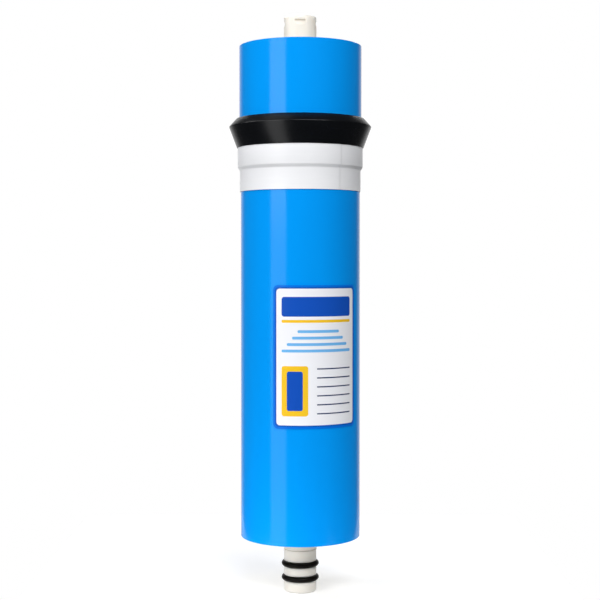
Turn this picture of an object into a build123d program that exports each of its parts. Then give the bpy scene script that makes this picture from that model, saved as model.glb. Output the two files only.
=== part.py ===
"""Spiral-wound reverse osmosis membrane element, in millimetres.

The permeate tube stands on +Z with its O-ring spigot down. The origin is the centre of the
spigot's end face, -Y is the front, and the feed end with the brine seal is at the top.
"""

import os
from math import degrees, sin

from build123d import *

# Lengths along the axis, from the spigot's end to the boss's rim
spigot_reach = 32.5
roll_length = 283.4
boss_reach = 17.1

# Permeate tube
spigot_diameter = 18.8
barrel_diameter = 19.4
bore_diameter = 13.0
shoulder_height = 24.2
end_wall = 4.0
end_recess = 4.0
tip_chamfer = 0.6
rim_chamfer = 0.4

# Grip pockets round the boss: a flat ledge under the rim, with a ramp below it
pocket_count = 4
pocket_width = 6.2
pocket_depth = 1.3
pocket_height = 2.8
pocket_ledge = 2.3

# Permeate holes drilled across the barrel, each row at right angles to the other
hole_diameter = 3.0
hole_spacing = 110.0
holes_in_row = 2

# O-rings and their glands on the spigot
ring_section = 3.2
ring_stand_out = 1.5
gland_side_play = 0.2
outer_ring_height = 7.9
ring_spacing = 8.2

# Sheets wound on the tube: carrier, folded membrane, and the feed spacer in the fold
carrier_thickness = 0.7
membrane_thickness = 0.5
spacer_thickness = 1.5
spacer_setback = 0.8
core_wrap = 0.9
tail_wrap = 0.6

# Tapes wound over the roll
body_tape = 0.5
feed_end_tape = 0.85
seal_tape_thickness = 0.3
seal_tape_width = 25.3
seal_tape_drape = 1.0

# Brine seal: its lip suits the housing, and the roll's diameter is what the lip leaves
lip_diameter = 82.2
lip_stand_out = 6.4
lip_setback = 41.9
lip_bevel = 4.4
lip_skirt = 12.3
lip_root_overhang = 0.7
lip_edge = 0.5
groove_width = 1.2
groove_depth = 10.5
sleeve_wall = 1.2
sleeve_drop = 3.0
sleeve_tail = 11.5

# Label on the body, angles from the front (-Y) towards +X
label_width = 52.9
label_height = 80.0
label_thickness = 0.15
label_corner = 2.7
label_centre_height = 138.5
label_centre_angle = 17.9

# Radial play between a wound or fitted piece and what carries it
fit = 0.05
# Play between two wound sheets that lie on each other
sheet_play = 0.04

# Heights of the roll's ends and the tube's rim
roll_bottom = spigot_reach
roll_top = spigot_reach + roll_length
overall_length = roll_top + boss_reach

# Radii of the tube, and of the roll and its tapes as the lip leaves them
spigot_radius = spigot_diameter / 2
barrel_radius = barrel_diameter / 2
bore_radius = bore_diameter / 2
core_radius = barrel_radius + fit
lip_radius = lip_diameter / 2
body_radius = lip_radius - lip_stand_out
body_inner_radius = body_radius - body_tape
roll_radius = body_inner_radius - fit

# Radii of what the body tape carries
carried_radius = body_radius + fit
feed_end_radius = carried_radius + feed_end_tape
sleeve_radius = carried_radius + sleeve_wall
lip_inner_radius = sleeve_radius + groove_width
lip_root_radius = sleeve_radius + lip_root_overhang

# Heights of the brine seal
lip_rim_height = roll_top - lip_setback
lip_tip_height = lip_rim_height - lip_bevel
lip_root_height = lip_tip_height - lip_skirt
sleeve_top = lip_rim_height - sleeve_drop
sleeve_bottom = lip_root_height - sleeve_tail
groove_bottom = lip_rim_height - groove_depth

# Winding of the leaf: the membrane's two plies with the feed spacer between them, in as
# many whole turns as the roll has room for under the carrier's tail
leaf_start = core_radius + core_wrap
leaf_thickness = 2 * membrane_thickness + spacer_thickness + 2 * sheet_play
leaf_pitch = leaf_thickness + carrier_thickness + 2 * sheet_play
leaf_turns = int((roll_radius - tail_wrap - leaf_thickness - leaf_start) / leaf_pitch)
spacer_start = leaf_start + membrane_thickness + sheet_play
fold_angle = degrees(membrane_thickness / leaf_start)

# O-rings seated in their glands
ring_outer_radius = spigot_radius + ring_stand_out
ring_centre_radius = ring_outer_radius - ring_section / 2
gland_radius = ring_outer_radius - ring_section - fit
gland_width = ring_section + 2 * gland_side_play
ring_heights = {
    "outer_o_ring": outer_ring_height,
    "inner_o_ring": outer_ring_height + ring_spacing,
}


def wound_ribbon(start_radius, thickness, lead_angle=0):
    """Draws a ribbon wound about the axis, as half-turn arcs about two centres."""
    for half_turn in range(2 * leaf_turns):
        lower_half = half_turn % 2
        centre_x = (leaf_pitch if lower_half else -leaf_pitch) / 4
        radius = start_radius + leaf_pitch / 4 + half_turn * leaf_pitch / 2
        lead_in = 0 if half_turn else lead_angle
        first_angle = 180 * lower_half + lead_in
        inner_side = CenterArc((centre_x, 0), radius, first_angle, 180 - lead_in)
        outer_side = CenterArc((centre_x, 0), radius + thickness, first_angle, 180 - lead_in)
        if half_turn == 0:
            Line(inner_side @ 0, outer_side @ 0)
    Line(inner_side @ 1, outer_side @ 1)


def wound_sleeve(name, inner_radius, outer_radius, bottom, top):
    """A tape's turns as one sleeve, written to its own file."""
    with BuildPart() as sleeve:
        with BuildSketch(Plane.XY.offset(bottom)):
            Circle(outer_radius)
            Circle(inner_radius, mode=Mode.SUBTRACT)
        extrude(amount=top - bottom)
    sleeve.part.label = name
    export_step(sleeve.part, f"parts/{name}.step")


os.makedirs("parts", exist_ok=True)

# Grip pocket cutter: a wedge with its flat side up, across the +X side of the boss
ledge_height = overall_length - pocket_ledge
with BuildPart() as grip_pocket:
    with BuildSketch(Plane.XZ):
        with BuildLine():
            Polyline(
                (spigot_radius - pocket_depth, ledge_height),
                (spigot_radius + pocket_depth, ledge_height),
                (spigot_radius + pocket_depth, ledge_height - 2 * pocket_height),
                close=True,
            )
        make_face()
    extrude(amount=pocket_width / 2, both=True)

# Permeate tube: one moulding, open at the spigot and closed by a wall near the boss's rim
with BuildPart() as permeate_tube:
    with BuildSketch(Plane.XZ):
        with BuildLine():
            barrel_step = barrel_radius - spigot_radius
            barrel_top = roll_top - barrel_step
            Polyline(
                (0, 0),
                (spigot_radius, 0),
                (spigot_radius, shoulder_height - barrel_step),
                (barrel_radius, shoulder_height),
                (barrel_radius, barrel_top),
                (spigot_radius, roll_top),
                (spigot_radius, overall_length),
                (0, overall_length),
                close=True,
            )
        make_face()
    revolve(axis=Axis.Z)
    chamfer(permeate_tube.faces().sort_by(Axis.Z)[0].edges(), tip_chamfer)
    chamfer(permeate_tube.faces().sort_by(Axis.Z)[-1].edges(), rim_chamfer)
    with BuildSketch(Plane.XY.offset(overall_length)):
        Circle(bore_radius)
    extrude(amount=-end_recess, mode=Mode.SUBTRACT)
    with BuildSketch(Plane.XY):
        Circle(bore_radius)
    extrude(amount=overall_length - end_recess - end_wall, mode=Mode.SUBTRACT)
    for ring_height in ring_heights.values():
        with BuildSketch(Plane.XY.offset(ring_height)):
            Circle(spigot_radius + ring_section)
            Circle(gland_radius, mode=Mode.SUBTRACT)
        extrude(amount=gland_width / 2, both=True, mode=Mode.SUBTRACT)
    with PolarLocations(0, pocket_count):
        add(grip_pocket.part, mode=Mode.SUBTRACT)
    roll_middle = (roll_bottom + roll_top) / 2
    for row_plane, row_shift in ((Plane.XZ, -hole_spacing / 4), (Plane.YZ, hole_spacing / 4)):
        with BuildSketch(row_plane):
            with Locations((0, roll_middle + row_shift)):
                with GridLocations(0, hole_spacing, 1, holes_in_row):
                    Circle(hole_diameter / 2)
        extrude(amount=barrel_diameter, both=True, mode=Mode.SUBTRACT)
permeate_tube.part.label = "permeate_tube"
export_step(permeate_tube.part, "parts/permeate_tube.step")

# O-rings, each round in section and stretched into its gland
for ring_name, ring_height in ring_heights.items():
    with BuildPart() as o_ring:
        with BuildSketch(Plane.XZ):
            with Locations((ring_centre_radius, ring_height)):
                Circle(ring_section / 2)
        revolve(axis=Axis.Z)
    o_ring.part.label = ring_name
    export_step(o_ring.part, f"parts/{ring_name}.step")

# Permeate carrier: the cloth that is wound first, with its core turns on the tube, and
# that lies between the leaf's turns as far as its tail under the body tape
with BuildPart() as permeate_carrier:
    with BuildSketch(Plane.XY.offset(roll_bottom)):
        Circle(roll_radius)
        Circle(core_radius, mode=Mode.SUBTRACT)
        with BuildLine():
            wound_ribbon(leaf_start - sheet_play, leaf_thickness + 2 * sheet_play)
        make_face(mode=Mode.SUBTRACT)
    extrude(amount=roll_length)
permeate_carrier.part.label = "permeate_carrier"
export_step(permeate_carrier.part, "parts/permeate_carrier.step")

# Membrane sheet: one sheet folded at the tube, a ply on each side of the feed spacer
with BuildPart() as membrane_sheet:
    with BuildSketch(Plane.XY.offset(roll_bottom)):
        with BuildLine():
            wound_ribbon(leaf_start, leaf_thickness)
        make_face()
        with BuildLine():
            wound_ribbon(spacer_start - sheet_play, spacer_thickness + 2 * sheet_play, fold_angle)
        make_face(mode=Mode.SUBTRACT)
    extrude(amount=roll_length)
membrane_sheet.part.label = "membrane_sheet"
export_step(membrane_sheet.part, "parts/membrane_sheet.step")

# Feed spacer: the net in the membrane's fold, a little short of the membrane's edges
with BuildPart() as feed_spacer:
    with BuildSketch(Plane.XY.offset(roll_bottom + spacer_setback)):
        with BuildLine():
            wound_ribbon(spacer_start, spacer_thickness, fold_angle)
        make_face()
    extrude(amount=roll_length - 2 * spacer_setback)
feed_spacer.part.label = "feed_spacer"
export_step(feed_spacer.part, "parts/feed_spacer.step")

# Body tape over the whole roll, and more turns of it that stop the seal at the feed end
wound_sleeve("body_tape", body_inner_radius, body_radius, roll_bottom, roll_top)
wound_sleeve("feed_end_tape", carried_radius, feed_end_radius, sleeve_top + fit, roll_top)

# Brine seal: a rubber sleeve with a lip that opens towards the feed end
with BuildPart() as brine_seal:
    with BuildSketch(Plane.XZ):
        with BuildLine():
            Polyline(
                (carried_radius, sleeve_bottom),
                (sleeve_radius, sleeve_bottom),
                (sleeve_radius, lip_root_height),
                (lip_root_radius, lip_root_height),
                (lip_radius, lip_tip_height - lip_edge),
                (lip_radius, lip_tip_height),
                (lip_inner_radius, lip_rim_height),
                (sleeve_radius + groove_width / 2, groove_bottom),
                (sleeve_radius, groove_bottom),
                (sleeve_radius, sleeve_top),
                (carried_radius, sleeve_top),
                close=True,
            )
        make_face()
    revolve(axis=Axis.Z)
brine_seal.part.label = "brine_seal"
export_step(brine_seal.part, "parts/brine_seal.step")

# Seal tape: white tape over the seal's sleeve, draped down onto the body tape
with BuildPart() as seal_tape:
    with BuildSketch(Plane.XZ):
        with BuildLine():
            over_sleeve = sleeve_radius + fit
            tape_top = lip_root_height - fit
            tape_bottom = tape_top - seal_tape_width
            drape_top = sleeve_bottom - fit
            drape_bottom = drape_top - seal_tape_drape
            Polyline(
                (over_sleeve, tape_top),
                (over_sleeve + seal_tape_thickness, tape_top),
                (over_sleeve + seal_tape_thickness, drape_top),
                (carried_radius + seal_tape_thickness, drape_bottom),
                (carried_radius + seal_tape_thickness, tape_bottom),
                (carried_radius, tape_bottom),
                (carried_radius, drape_bottom),
                (over_sleeve, drape_top),
                close=True,
            )
        make_face()
    revolve(axis=Axis.Z)
seal_tape.part.label = "seal_tape"
export_step(seal_tape.part, "parts/seal_tape.step")

# Label: a thin sticker that follows the body, with rounded corners
label_radius = carried_radius + label_thickness
label_half_angle = label_width / label_radius / 2
label_front = Plane(
    (0, 0, label_centre_height),
    x_dir=Vector(1, 0, 0).rotate(Axis.Z, label_centre_angle),
    z_dir=Vector(0, -1, 0).rotate(Axis.Z, label_centre_angle),
)
with BuildPart() as label:
    with BuildSketch(Plane.XY.offset(label_centre_height)):
        Circle(label_radius)
        Circle(carried_radius, mode=Mode.SUBTRACT)
    extrude(amount=label_height, both=True)
    with BuildSketch(label_front):
        RectangleRounded(2 * label_radius * sin(label_half_angle), label_height, label_corner)
    extrude(amount=label_radius, mode=Mode.INTERSECT)
label.part.label = "label"
export_step(label.part, "parts/label.step")

print("overall length", round(overall_length, 2), "leaf turns", leaf_turns)
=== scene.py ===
"""Spiral-wound reverse osmosis membrane element, standing on its spigot in a white studio."""

import math

import bpy
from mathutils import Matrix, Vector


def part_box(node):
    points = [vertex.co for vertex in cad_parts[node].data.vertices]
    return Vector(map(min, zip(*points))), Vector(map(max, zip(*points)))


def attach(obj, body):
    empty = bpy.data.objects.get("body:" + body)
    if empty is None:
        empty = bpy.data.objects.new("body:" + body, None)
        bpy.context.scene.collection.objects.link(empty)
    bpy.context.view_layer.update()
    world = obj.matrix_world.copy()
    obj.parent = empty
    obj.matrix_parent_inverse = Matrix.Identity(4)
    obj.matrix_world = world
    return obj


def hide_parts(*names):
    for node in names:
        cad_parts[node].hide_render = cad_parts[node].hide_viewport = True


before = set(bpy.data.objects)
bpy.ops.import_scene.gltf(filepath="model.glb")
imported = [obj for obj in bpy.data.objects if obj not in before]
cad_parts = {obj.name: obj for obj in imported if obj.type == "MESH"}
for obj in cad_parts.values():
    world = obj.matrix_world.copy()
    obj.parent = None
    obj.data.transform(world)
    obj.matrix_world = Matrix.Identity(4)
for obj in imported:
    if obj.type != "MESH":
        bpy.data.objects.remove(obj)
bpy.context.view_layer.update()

# Permeate tube
# The tube that the sheets are wound on, moulded in cream ABS: open at the spigot, closed near
# the boss's rim. Its surface is satin, with soft edges where the mould's parts met.
mm = 0.001


def linear(hex_colour):
    """The linear colour of an sRGB hex value."""
    channels = [int(hex_colour[i:i + 2], 16) / 255 for i in (1, 3, 5)]
    return [c / 12.92 if c <= 0.04045 else ((c + 0.055) / 1.055) ** 2.4 for c in channels] + [1]


def node(tree, kind, inputs=None, **settings):
    """Adds a node to a tree, with its settings, input values and links."""
    added = tree.nodes.new(kind)
    for setting, value in settings.items():
        setattr(added, setting, value)
    for socket, value in (inputs or {}).items():
        if isinstance(value, bpy.types.NodeSocket):
            tree.links.new(value, added.inputs[socket])
        else:
            added.inputs[socket].default_value = value
    return added


def new_material(name):
    """An empty material and its node tree, output, shader and object coordinates."""
    material = bpy.data.materials.new(name)
    material.use_nodes = True
    tree = material.node_tree
    tree.nodes.clear()
    output = node(tree, "ShaderNodeOutputMaterial")
    shader = node(tree, "ShaderNodeBsdfPrincipled")
    tree.links.new(shader.outputs["BSDF"], output.inputs["Surface"])
    place = node(tree, "ShaderNodeTexCoord").outputs["Object"]
    return material, tree, shader, place


def turned(name, outline, rings=192):
    """A round piece: a ring of points drawn from one (radius, height) of its outline to the next."""
    bpy.ops.object.select_all(action="DESELECT")
    radius, height = outline[0]
    bpy.ops.mesh.primitive_circle_add(vertices=rings, radius=radius, location=(0, 0, height))
    piece = bpy.context.object
    piece.name = piece.data.name = name
    bpy.ops.object.transform_apply(location=True, rotation=False, scale=False)
    bpy.ops.object.mode_set(mode="EDIT")
    bpy.ops.mesh.select_all(action="SELECT")
    for (radius, height), (next_radius, next_height) in zip(outline, outline[1:]):
        rise = (0, 0, next_height - height)
        bpy.ops.mesh.extrude_edges_move(TRANSFORM_OT_translate={"value": rise})
        widen = next_radius / radius
        bpy.ops.transform.resize(value=(widen, widen, 1), center_override=(0, 0, 0))
    bpy.ops.mesh.select_all(action="SELECT")
    bpy.ops.mesh.remove_doubles(threshold=0.001 * mm)
    bpy.ops.mesh.fill_holes(sides=0)
    bpy.ops.mesh.normals_make_consistent(inside=False)
    bpy.ops.object.mode_set(mode="OBJECT")
    return piece


def picked(piece, kind, chosen):
    """Opens a piece for editing with only those points or faces selected that are chosen."""
    bpy.ops.object.mode_set(mode="EDIT")
    bpy.ops.mesh.select_mode(type=kind)
    bpy.ops.mesh.select_all(action="DESELECT")
    bpy.ops.object.mode_set(mode="OBJECT")
    for element in piece.data.vertices if kind == "VERT" else piece.data.polygons:
        element.select = chosen(element)
    bpy.ops.object.mode_set(mode="EDIT")


def modified(piece, kind, **settings):
    """Adds a modifier to a piece and applies it."""
    bpy.ops.object.select_all(action="DESELECT")
    bpy.context.view_layer.objects.active = piece
    piece.select_set(True)
    modifier = piece.modifiers.new(kind.title(), kind)
    for setting, value in settings.items():
        setattr(modifier, setting, value)
    bpy.ops.object.modifier_apply(modifier=modifier.name)


def finished(piece, material, slot, *replaced, smooth_below=32):
    """Smooths a piece, gives it its material and puts it on the body in place of its solids."""
    bpy.ops.object.select_all(action="DESELECT")
    bpy.context.view_layer.objects.active = piece
    piece.select_set(True)
    bpy.ops.object.shade_smooth_by_angle(angle=math.radians(smooth_below))
    piece.data.materials.clear()
    piece.data.materials.append(material)
    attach(piece, "root")
    if replaced:
        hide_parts(*replaced)


tube_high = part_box("permeate_tube")[1]
roll_low, roll_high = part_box("permeate_carrier")
tube_length = tube_high[2]
barrel_radius = tube_high[0]
spigot_radius = 9.4 * mm
bore_radius = 6.5 * mm
gland_radius = 7.65 * mm
gland_width = 3.6 * mm
shoulder_height = 24.2 * mm
end_wall = 4 * mm
end_recess = 4 * mm
tip_chamfer = 0.6 * mm
rim_chamfer = 0.4 * mm
ring_heights = {
    "outer_o_ring": (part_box("outer_o_ring")[0][2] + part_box("outer_o_ring")[1][2]) / 2,
    "inner_o_ring": (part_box("inner_o_ring")[0][2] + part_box("inner_o_ring")[1][2]) / 2,
}
barrel_step = barrel_radius - spigot_radius
joint_low = shoulder_height + 0.1 * mm
joint_high = shoulder_height + 0.7 * mm
joint_depth = 0.8 * mm
joint_slope = 0.1 * mm
mould_radius = 0.12 * mm

spigot_outline = [
    (bore_radius, 0),
    (spigot_radius - tip_chamfer, 0),
    (spigot_radius, tip_chamfer),
]
for ring_height in sorted(ring_heights.values()):
    spigot_outline += [
        (spigot_radius, ring_height - gland_width / 2),
        (gland_radius, ring_height - gland_width / 2),
        (gland_radius, ring_height + gland_width / 2),
        (spigot_radius, ring_height + gland_width / 2),
    ]
tube = turned("tube", [
    (bore_radius, tube_length - end_recess - end_wall),
    *spigot_outline,
    (spigot_radius, shoulder_height - barrel_step),
    (barrel_radius, shoulder_height),
    (barrel_radius, joint_low),
    (barrel_radius - joint_depth, joint_low + joint_slope),
    (barrel_radius - joint_depth, joint_high - joint_slope),
    (barrel_radius, joint_high),
    (barrel_radius, roll_high[2] - barrel_step),
    (spigot_radius, roll_high[2]),
    (spigot_radius, tube_length - rim_chamfer),
    (spigot_radius - rim_chamfer, tube_length),
    (bore_radius, tube_length),
    (bore_radius, tube_length - end_recess),
])

# Grip pockets: a wedge is cut from each quarter of the boss, its ledge up and a little drafted
pocket_width = 6.2 * mm
pocket_depth = 1.3 * mm
pocket_height = 2.8 * mm
pocket_below_rim = 2.3 * mm
pocket_ledge = tube_length - pocket_below_rim
ledge_draft = 0.5 * mm
cutter_height = pocket_ledge - ledge_draft - pocket_height
for quarter in range(4):
    bpy.ops.object.select_all(action="DESELECT")
    bpy.ops.mesh.primitive_cube_add(size=1, location=(spigot_radius, 0, cutter_height))
    cutter = bpy.context.object
    cutter.scale = (2 * pocket_depth, pocket_width, 2 * pocket_height)
    bpy.ops.object.transform_apply(location=True, rotation=True, scale=True)
    picked(cutter, "VERT", lambda corner: corner.co.x < spigot_radius and corner.co.z < cutter_height)
    bpy.ops.transform.translate(value=(0, 0, 2 * pocket_height))
    bpy.ops.mesh.select_all(action="SELECT")
    bpy.ops.mesh.remove_doubles(threshold=0.01 * mm)
    picked(cutter, "VERT", lambda corner: corner.co.x > spigot_radius and corner.co.z > cutter_height)
    bpy.ops.transform.translate(value=(0, 0, 2 * ledge_draft))
    bpy.ops.mesh.select_all(action="SELECT")
    bpy.ops.transform.rotate(
        value=quarter * math.pi / 2, orient_axis="Z", center_override=(0, 0, pocket_ledge)
    )
    bpy.ops.mesh.normals_make_consistent(inside=False)
    bpy.ops.object.mode_set(mode="OBJECT")
    modified(tube, "BOOLEAN", object=cutter, operation="DIFFERENCE", solver="EXACT")
    bpy.data.objects.remove(cutter)

# Permeate holes: two pairs drilled across inside the roll, a quarter turn apart
hole_radius = 1.5 * mm
hole_spacing = 110 * mm
roll_middle = (roll_low[2] + roll_high[2]) / 2
for pair_rise, lean in (
    (-hole_spacing / 4, (math.pi / 2, 0, 0)),
    (hole_spacing / 4, (0, math.pi / 2, 0)),
):
    pair_middle = roll_middle + pair_rise
    for hole_height in (pair_middle - hole_spacing / 2, pair_middle + hole_spacing / 2):
        bpy.ops.object.select_all(action="DESELECT")
        bpy.ops.mesh.primitive_cylinder_add(
            vertices=32, radius=hole_radius, depth=3 * barrel_radius,
            location=(0, 0, hole_height), rotation=lean,
        )
        drill = bpy.context.object
        modified(tube, "BOOLEAN", object=drill, operation="DIFFERENCE", solver="EXACT")
        bpy.data.objects.remove(drill)
modified(
    tube, "BEVEL", width=mould_radius, segments=2, limit_method="ANGLE", angle_limit=math.radians(35)
)

cream_abs, tree, shader, place = new_material("cream_abs_moulding")
# Moulded ABS: an even satin cream with a faint cloudiness and a fine grain from the mould. Light
# soaks two or three millimetres into it, which softens the shade in the pockets.
cloud = node(tree, "ShaderNodeTexNoise", {"Vector": place, "Scale": 1 / (12 * mm), "Detail": 3})
cream = node(tree, "ShaderNodeMix", {
    "Factor": cloud.outputs["Fac"], "A": linear("#EBE8E2"), "B": linear("#E6E2DB"),
}, data_type="RGBA")
grain = node(tree, "ShaderNodeTexNoise", {"Vector": place, "Scale": 1 / (0.5 * mm), "Detail": 2})
satin = node(tree, "ShaderNodeMapRange", {
    "Value": grain.outputs["Fac"], "To Min": 0.34, "To Max": 0.46,
})
mould_skin = node(tree, "ShaderNodeBump", {
    "Height": grain.outputs["Fac"], "Strength": 0.08, "Distance": 0.05 * mm,
})
tree.links.new(cream.outputs["Result"], shader.inputs["Base Color"])
tree.links.new(satin.outputs["Result"], shader.inputs["Roughness"])
tree.links.new(mould_skin.outputs["Normal"], shader.inputs["Normal"])
shader.inputs["IOR"].default_value = 1.53
shader.inputs["Subsurface Weight"].default_value = 1
shader.inputs["Subsurface Radius"].default_value = (1, 0.95, 0.9)
shader.inputs["Subsurface Scale"].default_value = 2.6 * mm
finished(tube, cream_abs, "tube_plastic", "permeate_tube", smooth_below=18)

# O-rings
# Two moulded nitrile rubber rings stretched into the spigot's glands, lightly greased. Each
# shows the fine line round its outside where the mould's halves met.
nitrile, tree, shader, place = new_material("nitrile_rubber_ring")
# Nitrile rubber: near black, with a soft broken shine where grease lies on it
grease = node(tree, "ShaderNodeTexNoise", {"Vector": place, "Scale": 1 / (2.5 * mm), "Detail": 4})
shine = node(tree, "ShaderNodeMapRange", {
    "Value": grease.outputs["Fac"], "To Min": 0.24, "To Max": 0.42,
})
black = node(tree, "ShaderNodeMix", {
    "Factor": grease.outputs["Fac"], "A": linear("#070504"), "B": linear("#0E0B09"),
}, data_type="RGBA")
tree.links.new(black.outputs["Result"], shader.inputs["Base Color"])
tree.links.new(shine.outputs["Result"], shader.inputs["Roughness"])
shader.inputs["IOR"].default_value = 1.52
shader.inputs["Specular IOR Level"].default_value = 0.08
flash = 0.05 * mm
for ring_name, ring_height in ring_heights.items():
    ring_low, ring_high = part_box(ring_name)
    section = (ring_high[2] - ring_low[2]) / 2
    bpy.ops.object.select_all(action="DESELECT")
    bpy.ops.mesh.primitive_torus_add(
        major_segments=160, minor_segments=40, location=(0, 0, ring_height),
        major_radius=ring_high[0] - section, minor_radius=section - flash,
    )
    ring = bpy.context.object
    ring.name = ring.data.name = ring_name + "_moulded"
    bpy.ops.object.transform_apply(location=True, rotation=True, scale=True)
    outermost = ring_high[0] - 1.01 * flash
    picked(ring, "VERT", lambda point: math.hypot(*point.co.xy) > outermost)
    widen = ring_high[0] / (ring_high[0] - flash)
    bpy.ops.transform.resize(value=(widen, widen, 1), center_override=(0, 0, ring_height))
    bpy.ops.object.mode_set(mode="OBJECT")
    finished(ring, nitrile, "ring_rubber", ring_name)

# Permeate carrier, membrane and feed spacer
# The sheets wound on the tube: knitted cloth, membrane film and a plastic net in its fold. Only
# their cut edges show, at the two ends of the roll, so the solids stay and get their finish.
carrier_cloth, tree, shader, place = new_material("knitted_polyester_cloth")
# Knitted polyester stiffened with resin: a dull white edge of cut yarns, about 0.5 mm each
yarns = node(tree, "ShaderNodeTexVoronoi", {"Vector": place, "Scale": 1 / (0.5 * mm)})
wash = node(tree, "ShaderNodeTexNoise", {"Vector": place, "Scale": 1 / (6 * mm), "Detail": 3})
bleach = node(tree, "ShaderNodeMix", {
    "Factor": wash.outputs["Fac"], "A": linear("#DFDED7"), "B": linear("#CDCCC3"),
}, data_type="RGBA")
cut_yarn = node(tree, "ShaderNodeMix", {
    "Factor": yarns.outputs["Distance"], "A": bleach.outputs["Result"], "B": linear("#A5A49A"),
}, data_type="RGBA")
fray = node(tree, "ShaderNodeBump", {
    "Height": yarns.outputs["Distance"], "Strength": 0.5, "Distance": 0.2 * mm,
})
tree.links.new(cut_yarn.outputs["Result"], shader.inputs["Base Color"])
tree.links.new(fray.outputs["Normal"], shader.inputs["Normal"])
shader.inputs["Roughness"].default_value = 0.85

membrane_film, tree, shader, place = new_material("polyamide_membrane_film")
# Membrane cast on polyester felt: a smooth pale tan edge with a slight sheen
felt = node(tree, "ShaderNodeTexNoise", {"Vector": place, "Scale": 1 / (1.5 * mm), "Detail": 4})
tan = node(tree, "ShaderNodeMix", {
    "Factor": felt.outputs["Fac"], "A": linear("#DCCFB2"), "B": linear("#C4B595"),
}, data_type="RGBA")
sheen = node(tree, "ShaderNodeMapRange", {
    "Value": felt.outputs["Fac"], "To Min": 0.4, "To Max": 0.6,
})
tree.links.new(tan.outputs["Result"], shader.inputs["Base Color"])
tree.links.new(sheen.outputs["Result"], shader.inputs["Roughness"])

spacer_painted_shade, tree, shader, place = new_material("polypropylene_net_painted_shade")
# The ribbon stands for the depth of the net in painted shade: grey gaps between strands, deeper in some
# places
gaps = node(tree, "ShaderNodeTexVoronoi", {"Vector": place, "Scale": 1 / (1.4 * mm)})
# Painted shade: the gaps go grey where the net's depth would lie in shadow
depth = node(tree, "ShaderNodeMix", {
    "Factor": gaps.outputs["Distance"], "A": linear("#4C555A"), "B": linear("#8D979B"),
}, data_type="RGBA")
tree.links.new(depth.outputs["Result"], shader.inputs["Base Color"])
shader.inputs["Roughness"].default_value = 0.6

for sheet, finish in (
    ("permeate_carrier", carrier_cloth),
    ("membrane_sheet", membrane_film),
    ("feed_spacer", spacer_painted_shade),
):
    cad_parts[sheet].data.materials.clear()
    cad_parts[sheet].data.materials.append(finish)

# Strand ends of the net
# The net is two layers of extruded polypropylene strands that cross. Where the sheet is cut, the
# strands of both layers end side by side along the winding, a little below the sheets' edges.
net_strand, tree, shader, place = new_material("polypropylene_net_strand")
# Natural polypropylene: milky and waxy, clearer where the strand is thin
milk = node(tree, "ShaderNodeTexNoise", {"Vector": place, "Scale": 1 / (3 * mm), "Detail": 2})
waxy = node(tree, "ShaderNodeMix", {
    "Factor": milk.outputs["Fac"], "A": linear("#E3E8E8"), "B": linear("#C3CBCD"),
}, data_type="RGBA")
tree.links.new(waxy.outputs["Result"], shader.inputs["Base Color"])
shader.inputs["Roughness"].default_value = 0.35
shader.inputs["IOR"].default_value = 1.49
shader.inputs["Subsurface Weight"].default_value = 0.3
shader.inputs["Subsurface Radius"].default_value = (1, 1, 1)
shader.inputs["Subsurface Scale"].default_value = 0.4 * mm

winding_pitch = 3.36 * mm
spacer_start = 11.19 * mm
spacer_thickness = 1.5 * mm
half_turns = 12
strand_spacing = 3 * mm
strand_radius = 0.33 * mm
strand_stub = 0.62 * mm
strand_chamfer = 0.1 * mm
strand_clearance = 0.05 * mm
layer_gap = spacer_thickness / 2 - strand_radius - strand_clearance
first_arc_radius = spacer_start + spacer_thickness / 2 + winding_pitch / 4
spacer_low, spacer_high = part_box("feed_spacer")
for end_name, end_height in (
    ("spigot_end_strands", spacer_low[2]),
    ("feed_end_strands", spacer_high[2]),
):
    bpy.ops.object.select_all(action="DESELECT")
    bpy.ops.mesh.primitive_cylinder_add(
        vertices=8, radius=strand_radius, depth=2 * strand_stub, location=(0, 0, end_height)
    )
    strand = bpy.context.object
    bpy.ops.object.transform_apply(location=True, rotation=True, scale=True)
    bpy.ops.object.mode_set(mode="EDIT")
    bpy.ops.mesh.select_mode(type="FACE")
    bpy.ops.mesh.select_all(action="SELECT")
    bpy.ops.mesh.bevel(offset=strand_chamfer, segments=1, affect="EDGES")
    bpy.ops.object.mode_set(mode="OBJECT")
    for half_turn in range(half_turns):
        arc_radius = first_arc_radius + half_turn * winding_pitch / 2
        arc_centre = winding_pitch / 4 * (1 if half_turn % 2 else -1)
        strands = round(2 * math.pi * arc_radius / strand_spacing)
        for step in range(strands):
            angle = math.pi * (half_turn + (step + 0.5) / strands)
            radius = arc_radius + (layer_gap if step % 2 else -layer_gap)
            copy = strand.copy()
            copy.data = strand.data.copy()
            copy.location = (arc_centre + radius * math.cos(angle), radius * math.sin(angle), 0)
            bpy.context.collection.objects.link(copy)
            copy.select_set(True)
    strand.select_set(False)
    bpy.context.view_layer.objects.active = copy
    bpy.ops.object.join()
    ends = bpy.context.object
    ends.name = ends.data.name = end_name
    bpy.ops.object.transform_apply(location=True, rotation=True, scale=True)
    bpy.data.objects.remove(strand)
    finished(ends, net_strand, "spacer_net")

# Body tape
# Wide blue PVC tape wound over the whole roll to hold it, pulled tight and smooth. Its last
# edge runs down the back as a low step.
body_low, body_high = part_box("body_tape")
body_radius = body_high[0]
body_wall = 0.5 * mm
body_lap = 0.3 * mm
body_lap_angle = math.radians(166)
edge = 0.12 * mm
wrap_rings = 256


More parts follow.
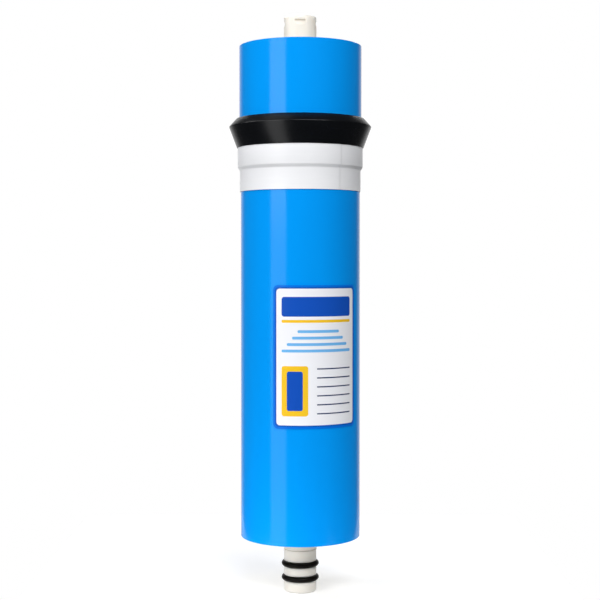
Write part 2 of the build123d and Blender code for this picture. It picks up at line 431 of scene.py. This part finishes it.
def lapped(piece, lap, around):
    """Lets a wound tape's outside grow by one lap in a turn, with a step as wide as high at its end."""
    outward = (math.sin(around), -math.cos(around), 0)
    onward = (math.cos(around), math.sin(around), 0)
    for onward_by in (0, lap):
        picked(piece, "FACE", lambda face: face.center.x * outward[0] + face.center.y * outward[1] > 0)
        bpy.ops.mesh.bisect(plane_co=[onward_by * c for c in onward], plane_no=onward)
        bpy.ops.object.mode_set(mode="OBJECT")
    faces_out = 0.3
    outside = [
        point for point in piece.data.vertices
        if point.normal.xy.dot(point.co.xy) > faces_out * math.hypot(*point.co.xy)
    ]
    for point in outside:
        radius = math.hypot(*point.co.xy)
        past_step = math.atan2(point.co.x, -point.co.y) - around - lap / 2 / radius
        turn = past_step / (2 * math.pi) % 1
        point.co.xy *= 1 - lap * (1 - turn) / radius


body = turned("body_wrap", [
    (body_radius - body_wall, body_low[2]),
    (body_radius - edge, body_low[2]),
    (body_radius, body_low[2] + edge),
    (body_radius, body_high[2] - edge),
    (body_radius - edge, body_high[2]),
    (body_radius - body_wall, body_high[2]),
    (body_radius - body_wall, body_low[2]),
], wrap_rings)
lapped(body, body_lap, body_lap_angle)

blue_pvc, tree, shader, place = new_material("azure_pvc_tape")
# Calendered PVC tape: a strong even azure under a clear gloss. The winding tension leaves long
# shallow ripples that only show in what it reflects.
stretch = node(tree, "ShaderNodeMapping", {"Vector": place, "Scale": (1, 1, 0.12)})
ripple = node(tree, "ShaderNodeTexNoise", {
    "Vector": stretch.outputs["Vector"], "Scale": 1 / (14 * mm), "Detail": 2,
})
tone = node(tree, "ShaderNodeMix", {
    "Factor": ripple.outputs["Fac"], "A": linear("#0099F6"), "B": linear("#0094F0"),
}, data_type="RGBA")
gloss = node(tree, "ShaderNodeMapRange", {
    "Value": ripple.outputs["Fac"], "To Min": 0.1, "To Max": 0.17,
})
tension = node(tree, "ShaderNodeBump", {
    "Height": ripple.outputs["Fac"], "Strength": 0.15, "Distance": 0.15 * mm,
})
tree.links.new(tone.outputs["Result"], shader.inputs["Base Color"])
tree.links.new(gloss.outputs["Result"], shader.inputs["Roughness"])
tree.links.new(tension.outputs["Normal"], shader.inputs["Normal"])
shader.inputs["IOR"].default_value = 1.54
shader.inputs["Specular IOR Level"].default_value = 0.23
finished(body, blue_pvc, "blue_tape", "body_tape")

# Feed end tape
# More turns of the same blue tape above the seal, wound tight and square at both edges. They make
# a collar that the seal can't slide past, and end in a low step at the back.
collar_low, collar_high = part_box("feed_end_tape")
collar_radius = collar_high[0]
collar_wall = 0.85 * mm
collar_lap = 0.3 * mm
collar_lap_angle = math.radians(205)
collar = turned("feed_end_wrap", [
    (collar_radius - collar_wall, collar_low[2]),
    (collar_radius - edge, collar_low[2]),
    (collar_radius, collar_low[2] + edge),
    (collar_radius, collar_high[2] - edge),
    (collar_radius - edge, collar_high[2]),
    (collar_radius - collar_wall, collar_high[2]),
    (collar_radius - collar_wall, collar_low[2]),
], wrap_rings)
lapped(collar, collar_lap, collar_lap_angle)
finished(collar, blue_pvc, "blue_tape", "feed_end_tape")

# Brine seal
# One moulded EPDM rubber ring: a sleeve held under the white tape, and a lip that flares out
# and opens towards the feed end, so that the feed's pressure spreads it against the housing.
seal_low, seal_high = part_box("brine_seal")
lip_radius = seal_high[0]
lip_rim = seal_high[2]
fit_gap = 0.05 * mm
sleeve_wall = 1.2 * mm
sleeve_inside = body_radius + fit_gap
sleeve_outside = sleeve_inside + sleeve_wall
lip_tip = lip_rim - 4.4 * mm
lip_root = lip_tip - 12.3 * mm
lip_root_radius = sleeve_outside + 0.7 * mm
lip_inside = sleeve_outside + 1.2 * mm
lip_land = 0.5 * mm
groove_floor = lip_rim - 10.5 * mm
groove_width = 0.6 * mm
sleeve_top = lip_rim - 3 * mm
seal = turned("brine_seal_moulding", [
    (sleeve_inside, seal_low[2]),
    (sleeve_outside, seal_low[2]),
    (sleeve_outside, lip_root),
    (lip_root_radius, lip_root),
    (lip_radius, lip_tip - lip_land),
    (lip_radius, lip_tip),
    (lip_inside, lip_rim),
    (sleeve_outside + groove_width, groove_floor),
    (sleeve_outside, groove_floor),
    (sleeve_outside, sleeve_top),
    (sleeve_inside, sleeve_top),
    (sleeve_inside, seal_low[2]),
], wrap_rings)
modified(
    seal, "BEVEL", width=mould_radius, segments=3, limit_method="ANGLE", angle_limit=math.radians(25)
)

epdm, tree, shader, place = new_material("epdm_rubber_moulding")
# EPDM rubber: a cool black with a satin skin, a little bloom and the mould's fine texture
bloom = node(tree, "ShaderNodeTexNoise", {"Vector": place, "Scale": 1 / (9 * mm), "Detail": 5})
skin = node(tree, "ShaderNodeTexNoise", {"Vector": place, "Scale": 1 / (0.4 * mm), "Detail": 2})
rubber = node(tree, "ShaderNodeMix", {
    "Factor": bloom.outputs["Fac"], "A": linear("#05070A"), "B": linear("#080A0F"),
}, data_type="RGBA")
satin = node(tree, "ShaderNodeMapRange", {
    "Value": bloom.outputs["Fac"], "To Min": 0.22, "To Max": 0.3,
})
pores = node(tree, "ShaderNodeBump", {
    "Height": skin.outputs["Fac"], "Strength": 0.1, "Distance": 0.05 * mm,
})
tree.links.new(rubber.outputs["Result"], shader.inputs["Base Color"])
tree.links.new(satin.outputs["Result"], shader.inputs["Roughness"])
tree.links.new(pores.outputs["Normal"], shader.inputs["Normal"])
shader.inputs["IOR"].default_value = 1.5
shader.inputs["Specular IOR Level"].default_value = 0.38
finished(seal, epdm, "seal_rubber", "brine_seal")

# Seal tape
# White PVC tape wound over the seal's sleeve and down onto the blue tape, which holds the seal
# in place. It bends over the sleeve's end and lies flat below it.
band_low, band_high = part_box("seal_tape")
band_wall = 0.3 * mm
band_edge = 0.05 * mm
band_lap = 0.1 * mm
band_lap_angle = math.radians(39.5)
band_radius = band_high[0]
low_band_radius = sleeve_inside + band_wall
drape_top = seal_low[2] - fit_gap
drape_bottom = drape_top - 1.3 * mm
# Each bend is rounded through three points, outwards and up from its sharp corner, in millimetres
upper_bend = [(0, 0.45), (-0.1, 0.15), (-0.35, -0.15)]
lower_bend = [(0.35, 0.2), (0.1, -0.1), (0, -0.6)]
band = turned("white_band", [
    (band_radius - band_wall, band_high[2]),
    (band_radius - band_edge, band_high[2]),
    (band_radius, band_high[2] - band_edge),
    *[(band_radius + out * mm, drape_top + up * mm) for out, up in upper_bend],
    *[(low_band_radius + out * mm, drape_bottom + up * mm) for out, up in lower_bend],
    (low_band_radius, band_low[2] + band_edge),
    (low_band_radius - band_edge, band_low[2]),
    (low_band_radius - band_wall, band_low[2]),
    (low_band_radius - band_wall, drape_bottom),
    (band_radius - band_wall, drape_top),
    (band_radius - band_wall, band_high[2]),
], wrap_rings)
lapped(band, band_lap, band_lap_angle)

white_pvc, tree, shader, place = new_material("white_pvc_tape")
# White PVC tape: an opaque cool white, softer in gloss than the blue, with faint pull lines
# that run round with the winding
wound = node(tree, "ShaderNodeMapping", {"Vector": place, "Scale": (0.05, 0.05, 1)})
pull = node(tree, "ShaderNodeTexNoise", {
    "Vector": wound.outputs["Vector"], "Scale": 1 / (1.2 * mm), "Detail": 3,
})
white = node(tree, "ShaderNodeMix", {
    "Factor": pull.outputs["Fac"], "A": linear("#F3F4F7"), "B": linear("#EEEFF2"),
}, data_type="RGBA")
satin = node(tree, "ShaderNodeMapRange", {
    "Value": pull.outputs["Fac"], "To Min": 0.32, "To Max": 0.44,
})
lines = node(tree, "ShaderNodeBump", {
    "Height": pull.outputs["Fac"], "Strength": 0.1, "Distance": 0.05 * mm,
})
tree.links.new(white.outputs["Result"], shader.inputs["Base Color"])
tree.links.new(satin.outputs["Result"], shader.inputs["Roughness"])
tree.links.new(lines.outputs["Normal"], shader.inputs["Normal"])
shader.inputs["IOR"].default_value = 1.53
finished(band, white_pvc, "white_tape", "seal_tape")

# Label
# A sticker of white printed film, rolled on smooth over the body tape. It has a blue margin and
# plain printed fields, and takes the body's curve.
label_low, label_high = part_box("label")
label_width = 52.9 * mm
label_height = label_high[2] - label_low[2]
label_corner = 2.7 * mm
label_angle = math.radians(17.9)
label_radius = body_radius + fit_gap
label_film = 0.15 * mm
label_middle = (label_low[2] + label_high[2]) / 2
bpy.ops.object.select_all(action="DESELECT")
bpy.ops.mesh.primitive_plane_add(size=1, calc_uvs=True)
label = bpy.context.object
label.name = label.data.name = "printed_label"
label.scale = (label_width, label_height, 1)
bpy.ops.object.transform_apply(location=True, rotation=True, scale=True)
bpy.ops.object.mode_set(mode="EDIT")
bpy.ops.mesh.select_all(action="SELECT")
bpy.ops.mesh.bevel(offset=label_corner, segments=8, affect="VERTICES")
strips = 48
for cut in range(1, strips):
    bpy.ops.mesh.select_all(action="SELECT")
    bpy.ops.mesh.bisect(
        plane_co=(label_width * (cut / strips - 0.5), 0, 0), plane_no=(1, 0, 0)
    )
bpy.ops.object.mode_set(mode="OBJECT")
for point in label.data.vertices:
    angle = label_angle + point.co.x / (label_radius + label_film)
    point.co = (
        label_radius * math.sin(angle), -label_radius * math.cos(angle), label_middle + point.co.y
    )
modified(label, "SOLIDIFY", thickness=label_film, offset=1, use_even_offset=True)

label_stock, tree, shader, place = new_material("printed_polypropylene_label")
# Printed film under a clear satin varnish: crisp flat inks, with a faint unevenness in the varnish
flat = node(tree, "ShaderNodeVectorMath", {
    0: node(tree, "ShaderNodeUVMap", uv_map="UVMap").outputs["UV"],
    1: (label_width, label_height, 0),
}, operation="MULTIPLY").outputs["Vector"]


def printed(under, ink, left, bottom, width, height, corner):
    """Prints a field with round corners over what is under it, in millimetres from the label's corner."""
    middle = ((left + width / 2) * mm, (bottom + height / 2) * mm, 0)
    inner = ((width / 2 - corner) * mm, (height / 2 - corner) * mm, 0)
    offset = node(tree, "ShaderNodeVectorMath", {0: flat, 1: middle}, operation="SUBTRACT")
    folded = node(tree, "ShaderNodeVectorMath", {0: offset.outputs["Vector"]}, operation="ABSOLUTE")
    past = node(tree, "ShaderNodeVectorMath", {
        0: folded.outputs["Vector"], 1: inner,
    }, operation="SUBTRACT")
    outside = node(tree, "ShaderNodeVectorMath", {
        0: past.outputs["Vector"], 1: (0, 0, 0),
    }, operation="MAXIMUM")
    reach = node(tree, "ShaderNodeVectorMath", {0: outside.outputs["Vector"]}, operation="LENGTH")
    field = node(tree, "ShaderNodeMath", {
        0: reach.outputs["Value"], 1: corner * mm,
    }, operation="LESS_THAN")
    return node(tree, "ShaderNodeMix", {
        "Factor": field.outputs["Value"], "A": under, "B": linear(ink),
    }, data_type="RGBA").outputs["Result"]


margin_blue = linear("#0470E0")
inks = printed(margin_blue, "#0A5ABC", left=1, bottom=1, width=50.9, height=78, corner=2.4)
inks = printed(inks, "#F1F2F7", left=1.9, bottom=1.9, width=49.1, height=76.2, corner=2)
inks = printed(inks, "#1550B8", left=5, bottom=62.5, width=42.9, height=11, corner=1.5)
inks = printed(inks, "#F3C42B", left=5, bottom=59.1, width=42.9, height=1.6, corner=0.7)
for bar in range(4):
    inks = printed(
        inks, "#6FB6EE", left=5 + 3 * bar, bottom=42.6 + 3.6 * bar, width=42.9 - 6 * bar,
        height=1.6, corner=0.7,
    )
inks = printed(inks, "#F3C42B", left=5, bottom=7, width=15, height=28, corner=1.5)
inks = printed(inks, "#1550B8", left=8, bottom=10, width=9, height=22, corner=1.2)
for rule in range(6):
    inks = printed(inks, "#25345E", left=25, bottom=8 + 5 * rule, width=22.9, height=0.7, corner=0.3)
varnish = node(tree, "ShaderNodeTexNoise", {"Vector": place, "Scale": 1 / (8 * mm), "Detail": 3})
satin = node(tree, "ShaderNodeMapRange", {
    "Value": varnish.outputs["Fac"], "To Min": 0.26, "To Max": 0.36,
})
tree.links.new(inks, shader.inputs["Base Color"])
tree.links.new(satin.outputs["Result"], shader.inputs["Roughness"])
shader.inputs["IOR"].default_value = 1.5
shader.inputs["Specular IOR Level"].default_value = 0.1
finished(label, label_stock, "label_stock", "label")

# Floor and backdrop
# The element stands on a sheet of matt white paper. Paper and world show white to the camera, and
# the world also in what shines behind the element, while the room in front stays dark.
paper_width = 320 * mm
paper_front = 120 * mm
paper_depth = 340 * mm
paper_gap = 0.05 * mm
bpy.ops.object.select_all(action="DESELECT")
bpy.ops.mesh.primitive_plane_add(size=1, location=(0, paper_depth / 2 - paper_front, -paper_gap))
floor = bpy.context.object
floor.name = "floor"
floor.scale = (paper_width, paper_depth, 1)
bpy.ops.object.transform_apply(location=True, rotation=True, scale=True)
paper, tree, shader, place = new_material("white_paper")
# Matt paper with a faint grain. A pool of light from below, at the front left, lifts the shade
# under the roll, and an even glow shows the paper white to the camera.
pulp = node(tree, "ShaderNodeTexNoise", {"Vector": place, "Scale": 1 / (4 * mm), "Detail": 4})
bleached = node(tree, "ShaderNodeMix", {
    "Factor": pulp.outputs["Fac"], "A": linear("#F6F6F6"), "B": linear("#F2F2F2"),
}, data_type="RGBA")
tree.links.new(bleached.outputs["Result"], shader.inputs["Base Color"])
shader.inputs["Roughness"].default_value = 0.9
pool_centre = (-60 * mm, -85 * mm, 0)
from_pool = node(tree, "ShaderNodeVectorMath", {0: place, 1: pool_centre}, operation="DISTANCE")
pool = node(tree, "ShaderNodeMapRange", {
    "Value": from_pool.outputs["Value"],
    "From Min": 40 * mm, "From Max": 100 * mm, "To Min": 1.1, "To Max": 0,
})
path = node(tree, "ShaderNodeLightPath")
shown = node(tree, "ShaderNodeMix", {
    "Factor": path.outputs["Is Camera Ray"], "A": pool.outputs["Result"], "B": 0.26,
}, data_type="FLOAT")
shader.inputs["Emission Color"].default_value = (1, 1, 1, 1)
tree.links.new(shown.outputs["Result"], shader.inputs["Emission Strength"])
floor.data.materials.append(paper)

world = bpy.data.worlds.new("white_studio")
bpy.context.scene.world = world
world.use_nodes = True
tree = world.node_tree
tree.nodes.clear()
path = node(tree, "ShaderNodeLightPath")
aim = node(tree, "ShaderNodeTexCoord")
axes = node(tree, "ShaderNodeSeparateXYZ", {"Vector": aim.outputs["Generated"]})
behind = node(tree, "ShaderNodeMapRange", {
    "Value": axes.outputs["Y"], "From Min": 0.68, "From Max": 1.02, "To Min": 0.06, "To Max": 0.95,
}, interpolation_type="SMOOTHSTEP")
shown = node(tree, "ShaderNodeMix", {
    "Factor": path.outputs["Is Camera Ray"], "A": behind.outputs["Result"], "B": 1.0,
}, data_type="FLOAT")
sky = node(tree, "ShaderNodeBackground", {"Color": (1, 1, 1, 1), "Strength": shown.outputs["Result"]})
node(tree, "ShaderNodeOutputWorld", {"Surface": sky.outputs["Background"]})

# Softboxes
# A tall one to the left of the camera stands as a stripe in the gloss, with a second one close
# before its upper half, which makes the stripe brighter there. The others are too high to be seen
# in the upright walls, and light the front, the left, the back and the top.


def softbox(name, around, up, distance, width, height, radiance, aim_height=0.17):
    """A rectangle of light that faces the element from an angle round it and above it."""
    level = distance * math.cos(math.radians(up))
    bpy.ops.object.light_add(type="AREA", location=(
        level * math.sin(math.radians(around)),
        -level * math.cos(math.radians(around)),
        aim_height + distance * math.sin(math.radians(up)),
    ), rotation=(math.radians(90 - up), 0, math.radians(around)))
    lamp = bpy.context.object
    lamp.name = name
    lamp.data.shape = "RECTANGLE"
    lamp.data.size = width
    lamp.data.size_y = height
    lamp.data.energy = radiance * math.pi * width * height


softbox("stripe_softbox", around=-42.2, up=0, distance=1.2, width=0.655, height=4, radiance=1.4)
softbox(
    "upper_stripe_softbox", around=-42.2, up=0, distance=1.15, width=0.628, height=2, radiance=1.25,
    aim_height=1.25,
)
softbox("front_softbox", around=22, up=38, distance=1.4, width=1.2, height=0.55, radiance=7.9)
softbox("left_softbox", around=-92, up=38, distance=1.4, width=0.7, height=0.55, radiance=5.8)
softbox("back_softbox", around=180, up=40, distance=1.4, width=0.9, height=0.5, radiance=4.5)
softbox("top_softbox", around=-107, up=73, distance=1.2, width=0.4, height=0.45, radiance=0.5)

# Camera
# In front of the element, nearly level, at the height where the photograph's curves run flat. The
# lens is shifted so that the element stands where the photograph has it.
camera_distance = 751.5 * mm
camera_height = 191.5 * mm
camera_pitch = math.radians(90 - 0.91)
bpy.ops.object.camera_add(
    location=(0, -camera_distance, camera_height), rotation=(camera_pitch, 0, 0)
)
camera = bpy.context.object
camera.data.sensor_width = 36
camera.data.lens = 77.52
camera.data.shift_x = -0.0004
camera.data.shift_y = -0.0295
camera.data.clip_start = 0.01
bpy.context.scene.camera = camera
bpy.context.scene.view_settings.view_transform = "Standard"
